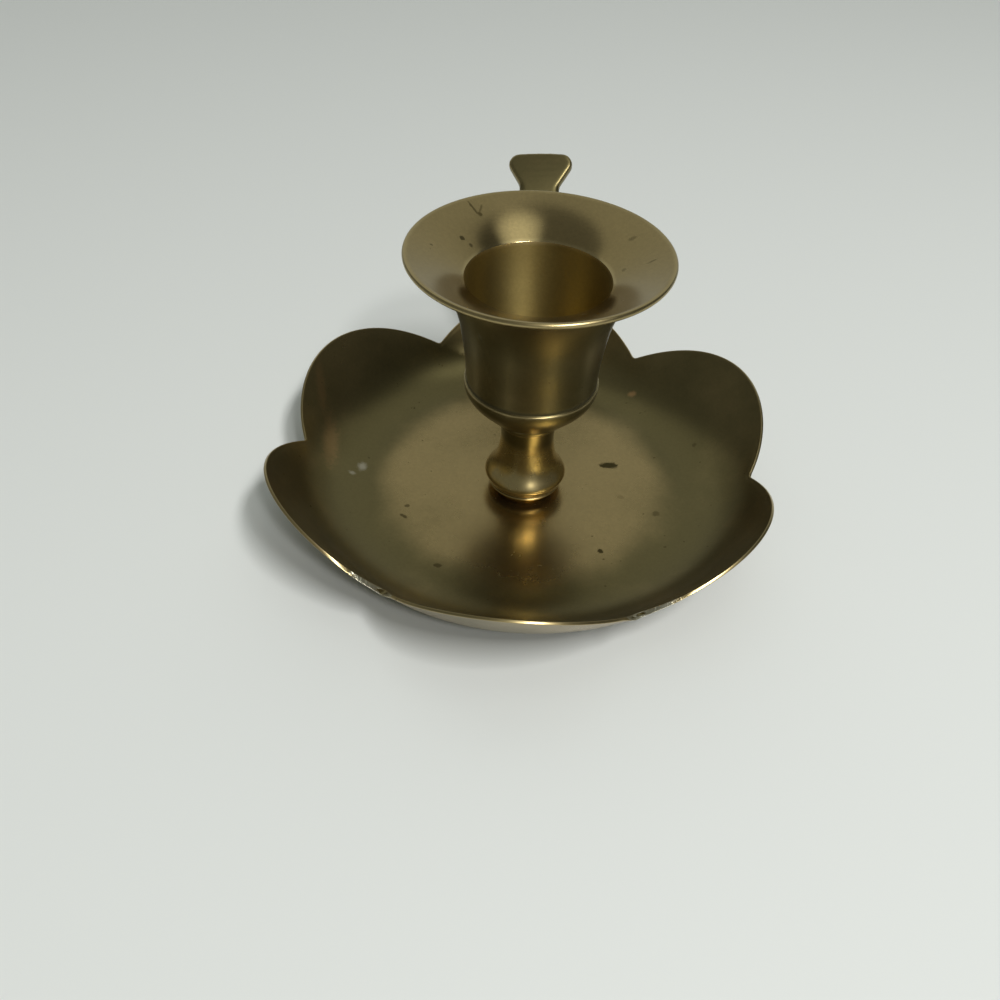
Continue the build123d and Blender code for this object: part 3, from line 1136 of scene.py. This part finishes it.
MARKS = {
    "petal_dish": (
        Mark("spot", (15.0, 5.9, 3.2), (1.7, 0.95, 0.9), 4),
        # Painted warm reflections and highlights on the left wall and the back right wall
        Mark("painted_reflection", (-34.4, 5.0, 7.0), (1.3, 5.5, 5.0), 8, 0.4),
        Mark("painted_reflection", (-37.2, 13.4, 12.0), (0.8, 5.0, 5.0), 14, 0.35),
        Mark("painted_reflection", (20.1, 26.0, 4.7), (0.7, 0.6, 2.0), 0, 0.8),
        Mark("filed", (-22.8, -31.2, 9.6), (5.6, 1.8, 2.5), -37, 1.0),
        Mark("filed", (18.6, -33.6, 9.4), (6.0, 1.8, 2.5), 28, 1.0),
        Mark("spot", (12.8, -15.9, 3.2), (0.5, 0.55, 0.9), 30),
        Mark("spot", (-19.6, -7.7, 3.2), (0.5, 0.4, 0.9), 0, 0.6),
        Mark("spot", (-19.9, -10.2, 3.2), (0.85, 0.35, 0.9), -40, 0.7),
        Mark("spot", (-13.2, -21.2, 3.2), (0.75, 0.45, 0.9), -10, 0.7),
        Mark("spot", (22.5, -6.2, 3.2), (0.8, 0.6, 0.9), 20, 0.45),
        Mark("spot", (16.7, -2.5, 3.2), (0.7, 0.6, 0.9), 0, 0.2),
        Mark("spot", (30.6, 11.4, 6.0), (0.5, 0.5, 3.0), 0, 0.4),
        Mark("wax", (-28.5, 1.7, 3.3), (0.8, 1.0, 3.0), 0, 0.45),
        Mark("wax", (-30.0, -0.4, 3.7), (0.6, 0.4, 3.0), -20, 0.35),
    ),
    "candle_cup": (
        Mark("spot", (-10.6, 14.0, 46.7), (1.7, 0.22, 2.0), -48, 0.8),
        Mark("spot", (-9.4, 13.2, 46.2), (0.5, 0.35, 2.0), -30, 0.9),
        Mark("spot", (-9.4, 14.3, 46.7), (0.18, 1.0, 2.0), -8, 0.7),
        Mark("spot", (-11.8, 7.4, 45.1), (0.45, 0.45, 2.0), 0, 0.8),
        Mark("spot", (-10.4, 6.9, 44.7), (0.35, 0.35, 2.0), 0, 0.6),
        Mark("spot", (-16.0, 2.6, 46.4), (0.3, 0.2, 2.0), 0, 0.6),
        Mark("spot", (13.9, 8.0, 46.4), (0.7, 0.4, 2.0), 10, 0.35),
        Mark("spot", (12.6, 1.7, 44.9), (0.4, 0.4, 2.0), 0, 0.35),
        Mark("spot", (16.4, 1.0, 46.4), (0.8, 0.2, 2.0), 15, 0.45),
        Mark("spot", (-7.9, -9.2, 38.4), (0.45, 0.45, 0.9), 0, 0.5),
    ),
}


class Graph:
    """Short calls for adding nodes to a tree."""

    def __init__(self, tree):
        self.tree = tree

    def node(self, kind, **settings):
        made = self.tree.nodes.new(kind)
        for name, value in settings.items():
            setattr(made, name, value)
        return made

    def feed(self, socket, value):
        if isinstance(value, bpy.types.NodeSocket):
            self.tree.links.new(value, socket)
        else:
            socket.default_value = value

    def feed_all(self, made, values):
        for socket, value in zip(made.inputs, values):
            self.feed(socket, value)
        return made

    def math(self, operation, *values):
        return self.feed_all(self.node("ShaderNodeMath", operation=operation), values).outputs[0]

    def vary(self, value, noise, amount):
        # The value, raised and lowered by the noise
        return self.math("MULTIPLY_ADD", self.math("SUBTRACT", noise, 0.5), amount, value)

    def vector(self, operation, *values):
        made = self.feed_all(self.node("ShaderNodeVectorMath", operation=operation), values)
        return made.outputs["Value" if operation in ("LENGTH", "DOT_PRODUCT") else "Vector"]

    def remap(self, value, low, high, out_low=0.0, out_high=1.0):
        made = self.node("ShaderNodeMapRange", interpolation_type="SMOOTHSTEP")
        return self.feed_all(made, (value, low, high, out_low, out_high)).outputs[0]

    def mix(self, factor, first, second):
        made = self.node("ShaderNodeMix", data_type="RGBA")
        for index, value in ((0, factor), (6, first), (7, second)):
            self.feed(made.inputs[index], value)
        return made.outputs[2]

    def noise(self, place, kind, seed):
        made = self.node("ShaderNodeTexNoise", noise_dimensions="4D")
        self.feed(made.inputs["Vector"], place)
        self.feed(made.inputs["W"], seed + kind.step)
        self.feed(made.inputs["Scale"], 1 / kind.size)
        self.feed(made.inputs["Detail"], kind.detail)
        self.feed(made.inputs["Roughness"], kind.rough)
        return made.outputs[0]

    def attribute(self, name):
        return self.node("ShaderNodeAttribute", attribute_name=name).outputs["Fac"]

    def bump(self, height, depth, normal=None):
        made = self.node("ShaderNodeBump")
        made.inputs["Strength"].default_value = 1.0
        made.inputs["Distance"].default_value = depth
        self.feed(made.inputs["Height"], height)
        if normal is not None:
            self.feed(made.inputs["Normal"], normal)
        return made.outputs[0]


def mark_mask(graph, place, mark):
    # 1 inside the mark, with an uneven border
    mapping = graph.node("ShaderNodeMapping", vector_type="TEXTURE")
    mapping.inputs["Location"].default_value = [value * MM for value in mark.place]
    mapping.inputs["Rotation"].default_value = (0.0, 0.0, math.radians(mark.turn))
    mapping.inputs["Scale"].default_value = [value * MM for value in mark.size]
    graph.feed(mapping.inputs["Vector"], place)
    away = graph.vector("LENGTH", mapping.outputs[0])
    away = graph.vary(away, graph.noise(place, BORDER, mark.place[0]), MARK_UNEVEN)
    soft = SOFTNESS if mark.kind in SOFT_MARKS else 0.0
    return graph.remap(away, MARK_RISE[0] + soft, MARK_RISE[1] - soft, 0.0, mark.amount)


def marks_of_kind(graph, place, node, kind):
    # The strongest of a piece's marks of one kind, or 0
    total = 0.0
    for mark in MARKS.get(node, ()):
        if mark.kind == kind:
            total = graph.math("MAXIMUM", mark_mask(graph, place, mark), total)
    return total


def flattened(graph, place):
    return graph.vector("MULTIPLY", place, (1.0, 1.0, 0.0))


def reach_and_height(graph, place):
    # The distance from the candle's axis, and the height
    split = graph.node("ShaderNodeSeparateXYZ")
    graph.feed(split.inputs[0], place)
    return graph.vector("LENGTH", flattened(graph, place)), split.outputs[2]


def turning_marks(graph, place, seed):
    # Noise that runs round the axis, as the marks of a lathe tool do
    reach, height = reach_and_height(graph, place)
    way = graph.vector("SCALE", graph.vector("NORMALIZE", flattened(graph, place)))
    way.node.inputs["Scale"].default_value = RING_STRETCH * RINGS.size
    rise = graph.node("ShaderNodeCombineXYZ")
    graph.feed(rise.inputs[2], graph.math("MULTIPLY_ADD", reach, RING_SLANT, height))
    return graph.noise(graph.vector("ADD", way, rise.outputs[0]), RINGS, seed)


def bore_masks(graph, place, finish):
    # The tapered bore, with the coarse marks of the boring tool, and the bright funnel above it
    if not finish.bore_reach:
        return 0.0, 0.0
    reach, height = reach_and_height(graph, place)
    above = graph.math("SUBTRACT", height, BORE_HIGH)
    cone = graph.math("MULTIPLY_ADD", above, -BORE_TAPER, reach)
    bore = graph.math("LESS_THAN", cone, finish.bore_reach)
    bore = graph.math("MULTIPLY", bore, graph.math("LESS_THAN", height, BORE_HIGH))
    bore = graph.math("MULTIPLY", bore, graph.math("GREATER_THAN", height, BORE_LOW))
    cone = graph.math("MULTIPLY_ADD", above, -FUNNEL_TAPER, reach)
    funnel = graph.math("LESS_THAN", cone, finish.bore_reach + FUNNEL_EDGE)
    return bore, graph.math("MULTIPLY", funnel, graph.math("GREATER_THAN", height, BORE_HIGH))


def tarnish_mask(graph, place, finish, mottle):
    level = graph.vary(finish.tarnish, graph.noise(place, CLOUD, finish.seed), CLOUDING)
    level = graph.vary(level, mottle, finish.mottle)
    reach, height = reach_and_height(graph, place)
    if finish.floor_reach:
        reach = graph.vary(reach, graph.noise(place, DRIFT, finish.seed), FLOOR_DRIFT)
        fade = [finish.floor_reach + step for step in FLOOR_FADE]
        wall = graph.remap(reach, *fade, 0.0, WALL_TARNISH)
        tips = graph.remap(reach, *TIP_FADE, 0.0, TIP_TARNISH)
        level = graph.math("ADD", level, graph.math("ADD", wall, tips))
    if finish.painted_shade_from:
        # Painted shade: the tarnish is raised up under the socket, to darken the neck there
        dark = graph.remap(height, finish.painted_shade_from, finish.painted_shade_from + PAINTED_SHADE_FADE)
        level = graph.math("ADD", level, dark)
    return graph.remap(level, 0.0, 1.0)


class Skin:
    """The noises and masks that a piece's colour, roughness and relief share."""

    def __init__(self, graph, node, finish):
        self.place = graph.node("ShaderNodeTexCoord").outputs["Object"]
        self.mottle = graph.noise(self.place, MOTTLE, finish.seed)
        self.grain = graph.noise(self.place, GRAIN, finish.seed)
        self.rings = turning_marks(graph, self.place, finish.seed)
        self.bore, self.funnel = bore_masks(graph, self.place, finish)
        self.tarnish = tarnish_mask(graph, self.place, finish, self.mottle)
        for mask, cleaning in ((self.bore, BORE_CLEANING), (self.funnel, FUNNEL_CLEANING)):
            kept = graph.math("MULTIPLY_ADD", mask, -cleaning, 1.0)
            self.tarnish = graph.math("MULTIPLY", self.tarnish, kept)
        edge = graph.attribute("edge")
        self.worn = graph.remap(graph.vary(edge, self.mottle, WORN_UNEVEN), *WORN_RISE)
        self.grime = graph.remap(graph.vary(edge, self.mottle, GRIME_UNEVEN), *GRIME_RISE)
        self.grain_dirt = graph.remap(self.grain, *GRAIN_RISE)
        specks = graph.noise(self.place, SPECKS, finish.seed)
        specks = graph.remap(specks, *SPECK_RISE, 0.0, SPECK_AMOUNT)
        spots = marks_of_kind(graph, self.place, node, "spot")
        self.spots = graph.math("MAXIMUM", specks, spots)
        self.wax = marks_of_kind(graph, self.place, node, "wax")
        # The painted warm reflections and highlights
        self.painted_reflection = marks_of_kind(graph, self.place, node, "painted_reflection")
        filed = marks_of_kind(graph, self.place, node, "filed")
        self.filed = graph.math("MULTIPLY", filed, graph.remap(edge, *FILED_RISE))
        dirt = graph.math("MULTIPLY", self.grime, GRIME_SHARE)
        dirt = graph.math("MAXIMUM", dirt, self.spots)
        self.dirt = graph.math("MAXIMUM", dirt, self.wax)


def brass_colour(graph, skin, finish, colours):
    base = graph.mix(finish.polish, (*colours.brass, 1.0), (*colours.polished, 1.0))
    for mask, coat, strength in COATS:
        factor = graph.math("MULTIPLY", getattr(skin, mask), strength)
        base = graph.mix(factor, base, (*getattr(colours, coat), 1.0))
    return base


def brass_roughness(graph, skin, finish):
    rough = graph.vary(finish.roughness, skin.mottle, MOTTLE_ROUGHNESS)
    rough = graph.vary(rough, skin.rings, RING_ROUGHNESS * finish.grooves)
    for mask, amount in ROUGHENING:
        rough = graph.math("MULTIPLY_ADD", getattr(skin, mask), amount, rough)
    return rough


def file_cuts(graph, skin, seed):
    # Fine scratches that run across the filed edges
    scratches = graph.node("ShaderNodeMapping", vector_type="TEXTURE")
    scratches.inputs["Scale"].default_value = FILE_STRETCH
    graph.feed(scratches.inputs["Vector"], skin.place)
    return graph.math("MULTIPLY", graph.noise(scratches.outputs[0], FILE_CUTS, seed), skin.filed)


def brass_relief(graph, skin, finish):
    normal = graph.bump(graph.noise(skin.place, WAVES, finish.seed), finish.wave * MM)
    normal = graph.bump(skin.grain, GRAIN_DEPTH, normal)
    if finish.floor_reach:
        # Only the dish has filed edges
        normal = graph.bump(file_cuts(graph, skin, finish.seed), FILE_DEPTH, normal)
    if finish.grooves:
        normal = graph.bump(skin.rings, RING_DEPTH * finish.grooves, normal)
    return normal


def aged_brass(slot, node, colours):
    finish = FINISHES[node]
    material = bpy.data.materials.new(slot)
    material.use_nodes = True
    graph = Graph(material.node_tree)
    shader = material.node_tree.nodes["Principled BSDF"]
    skin = Skin(graph, node, finish)
    graph.feed(shader.inputs["Base Color"], brass_colour(graph, skin, finish, colours))
    graph.feed(shader.inputs["Metallic"], graph.math("SUBTRACT", 1.0, skin.wax))
    graph.feed(shader.inputs["Roughness"], brass_roughness(graph, skin, finish))
    graph.feed(shader.inputs["Normal"], brass_relief(graph, skin, finish))
    if finish.grooves:
        stretch = GROOVE_STRETCH * finish.grooves
        stretch = graph.math("MULTIPLY_ADD", skin.bore, BORE_STRETCH - stretch, stretch)
        tangent = graph.node("ShaderNodeTangent", direction_type="RADIAL", axis="Z")
        graph.feed(shader.inputs["Tangent"], tangent.outputs[0])
        graph.feed(shader.inputs["Anisotropic"], stretch)
        shader.inputs["Anisotropic Rotation"].default_value = QUARTER_TURN
    return material


def mark_edges(mesh):
    # Positive on convex edges and negative in hollows, from how the normals turn
    bm = bmesh.new()
    bm.from_mesh(mesh)
    bm.verts.ensure_lookup_table()
    bend = np.zeros(len(bm.verts))
    for vertex in bm.verts:
        total = 0.0
        for edge in vertex.link_edges:
            other = edge.other_vert(vertex)
            way = other.co - vertex.co
            total += (other.normal - vertex.normal).dot(way) / max(way.length_squared, 1e-12)
        bend[vertex.index] = total / max(len(vertex.link_edges), 1)
    level = np.clip(bend * EDGE_RADIUS, -1, 1)
    for _ in range(EDGE_SPREAD):
        spread = level.copy()
        for vertex in bm.verts:
            beside = [level[edge.other_vert(vertex).index] for edge in vertex.link_edges]
            if beside:
                spread[vertex.index] = (level[vertex.index] + max(beside, key=abs)) / 2
        level = spread
    bm.free()
    layer = mesh.attributes.new("edge", "FLOAT", "POINT")
    layer.data.foreach_set("value", level.astype(np.float32))


# The stage

# The photo's viewpoint: the eye's place, and its right, up and backward directions
EYE = (-2.675 * MM, -129.966 * MM, 116.518 * MM)
EYE_RIGHT = (0.99839, 0.04347, 0.03643)
EYE_UP = (-0.05618, 0.67016, 0.74009)
EYE_BACK = (0.00776, -0.74094, 0.67152)
FOCAL_PIXELS = 988.33
NEAR_CLIP = 5 * MM
FLOOR_HALF = 1.5
FLOOR_ROUGHNESS = 0.6
LAMP_DISTANCE = 0.9
# Azimuth and elevation in degrees, size in metres and power in watts
LAMPS = {
    "ceiling_lamp": (140, 57, (0.10, 0.30), 4.6),
    "ceiling_bulb": (160, 45, (0.06, 0.08), 1.5),
}
# Round patches in the soft light: azimuth, elevation, and the cosines of their outer and inner edge
PALE_WALL = (0, 28, 0.67, 0.73)
DARK_SIDE = (95, 28, 0.55, 0.85)
OVERHEAD = (85, 76, 0.955, 1.0)


def add_camera():
    data = bpy.data.cameras.new("photo_camera")
    data.sensor_width = SENSOR_WIDTH
    data.lens = FOCAL_PIXELS / IMAGE_SIZE * SENSOR_WIDTH
    data.clip_start = NEAR_CLIP
    camera = bpy.data.objects.new("photo_camera", data)
    bpy.context.scene.collection.objects.link(camera)
    turn = Matrix((EYE_RIGHT, EYE_UP, EYE_BACK)).transposed().to_4x4()
    camera.matrix_world = Matrix.Translation(EYE) @ turn
    bpy.context.scene.camera = camera


def add_floor(look):
    bm = bmesh.new()
    bmesh.ops.create_grid(bm, x_segments=2, y_segments=2, size=FLOOR_HALF)
    floor = piece("studio_floor", bm)
    material = bpy.data.materials.new("pale_floor")
    material.use_nodes = True
    shader = material.node_tree.nodes["Principled BSDF"]
    shader.inputs["Base Color"].default_value = (*look.floor, 1.0)
    shader.inputs["Roughness"].default_value = FLOOR_ROUGHNESS
    floor.data.materials.append(material)


def direction(azimuth, elevation):
    # Azimuth is clockwise from the back, seen from above
    turn = math.radians(azimuth)
    rise = math.radians(elevation)
    return Vector((math.sin(turn) * math.cos(rise), math.cos(turn) * math.cos(rise), math.sin(rise)))


def add_lamp(name, azimuth, elevation, size, power):
    data = bpy.data.lights.new(name, "AREA")
    data.shape = "RECTANGLE"
    data.size, data.size_y = size
    data.energy = power
    lamp = bpy.data.objects.new(name, data)
    bpy.context.scene.collection.objects.link(lamp)
    way = direction(azimuth, elevation)
    across = Vector((0, 1, 0)).cross(way).normalized()
    lamp.matrix_world = Matrix((across, way.cross(across), way)).transposed().to_4x4()
    lamp.location = way * LAMP_DISTANCE


def light_share(graph, way, patch, amount):
    # The given amount inside one round patch of the soft light, fading to 0 round it
    azimuth, elevation, outer, inner = patch
    near = graph.vector("DOT_PRODUCT", way, direction(azimuth, elevation))
    return graph.remap(near, outer, inner, 0.0, amount)


def add_world(look):
    world = bpy.data.worlds.new("studio")
    world.use_nodes = True
    graph = Graph(world.node_tree)
    background = world.node_tree.nodes["Background"]
    way = graph.node("ShaderNodeTexCoord").outputs["Generated"]
    level = graph.math("ADD", look.level, light_share(graph, way, PALE_WALL, look.back_level))
    level = graph.math("SUBTRACT", level, light_share(graph, way, DARK_SIDE, look.right_level))
    level = graph.math("ADD", level, light_share(graph, way, OVERHEAD, look.above_level))
    background.inputs["Color"].default_value = (*look.world, 1.0)
    graph.feed(background.inputs["Strength"], level)
    bpy.context.scene.world = world


class CHAMBERSTICK_OT_stage(Operator):
    """Makes the floor, the lights and the camera."""

    bl_idname = "chamberstick.stage"
    bl_label = "Stage"

    def execute(self, context):
        look = context.scene.chamberstick.stage
        add_camera()
        add_floor(look)
        add_world(look)
        for name, values in LAMPS.items():
            add_lamp(name, *values)
        context.scene.view_settings.view_transform = "Standard"
        return {"FINISHED"}


class CHAMBERSTICK_PT_panel(Panel):
    """Lists the pieces and the stage."""

    bl_idname = "CHAMBERSTICK_PT_panel"
    bl_label = "Brass Chamberstick"
    bl_space_type = "VIEW_3D"
    bl_region_type = "UI"
    bl_category = "Chamberstick"

    def draw(self, context):
        column = self.layout.column()
        for operator in OPERATORS:
            column.operator(operator.bl_idname)
        settings = context.scene.chamberstick
        for group in settings.bl_rna.properties:
            if group.type == "POINTER" and group.identifier != "rna_type":
                box = self.layout.box()
                box.label(text=group.name)
                sizes = getattr(settings, group.identifier)
                for item in sizes.bl_rna.properties:
                    if item.identifier not in ("rna_type", "name"):
                        box.prop(sizes, item.identifier)


OPERATORS = (
    CHAMBERSTICK_OT_stage,
    CHAMBERSTICK_OT_petal_dish,
    CHAMBERSTICK_OT_stem,
    CHAMBERSTICK_OT_candle_cup,
    CHAMBERSTICK_OT_finger_loop,
    CHAMBERSTICK_OT_loop_rivets,
    CHAMBERSTICK_OT_stem_washer,
    CHAMBERSTICK_OT_stem_screw,
)

CLASSES = (
    CupSizes,
    StemSizes,
    DishSizes,
    LoopSizes,
    FastenerSizes,
    BrassColours,
    StageLook,
    ChamberstickSettings,
    *OPERATORS,
    CHAMBERSTICK_PT_panel,
)


def register():
    for item in CLASSES:
        bpy.utils.register_class(item)
    bpy.types.Scene.chamberstick = PointerProperty(type=ChamberstickSettings)


def unregister():
    del bpy.types.Scene.chamberstick
    for item in reversed(CLASSES):
        bpy.utils.unregister_class(item)


def main():
    register()
    bpy.ops.chamberstick.stage()
    bpy.ops.chamberstick.petal_dish()
    bpy.ops.chamberstick.stem()
    bpy.ops.chamberstick.candle_cup()
    bpy.ops.chamberstick.finger_loop()
    bpy.ops.chamberstick.loop_rivets()
    bpy.ops.chamberstick.stem_washer()
    bpy.ops.chamberstick.stem_screw()


if __name__ == "__main__":
    main()
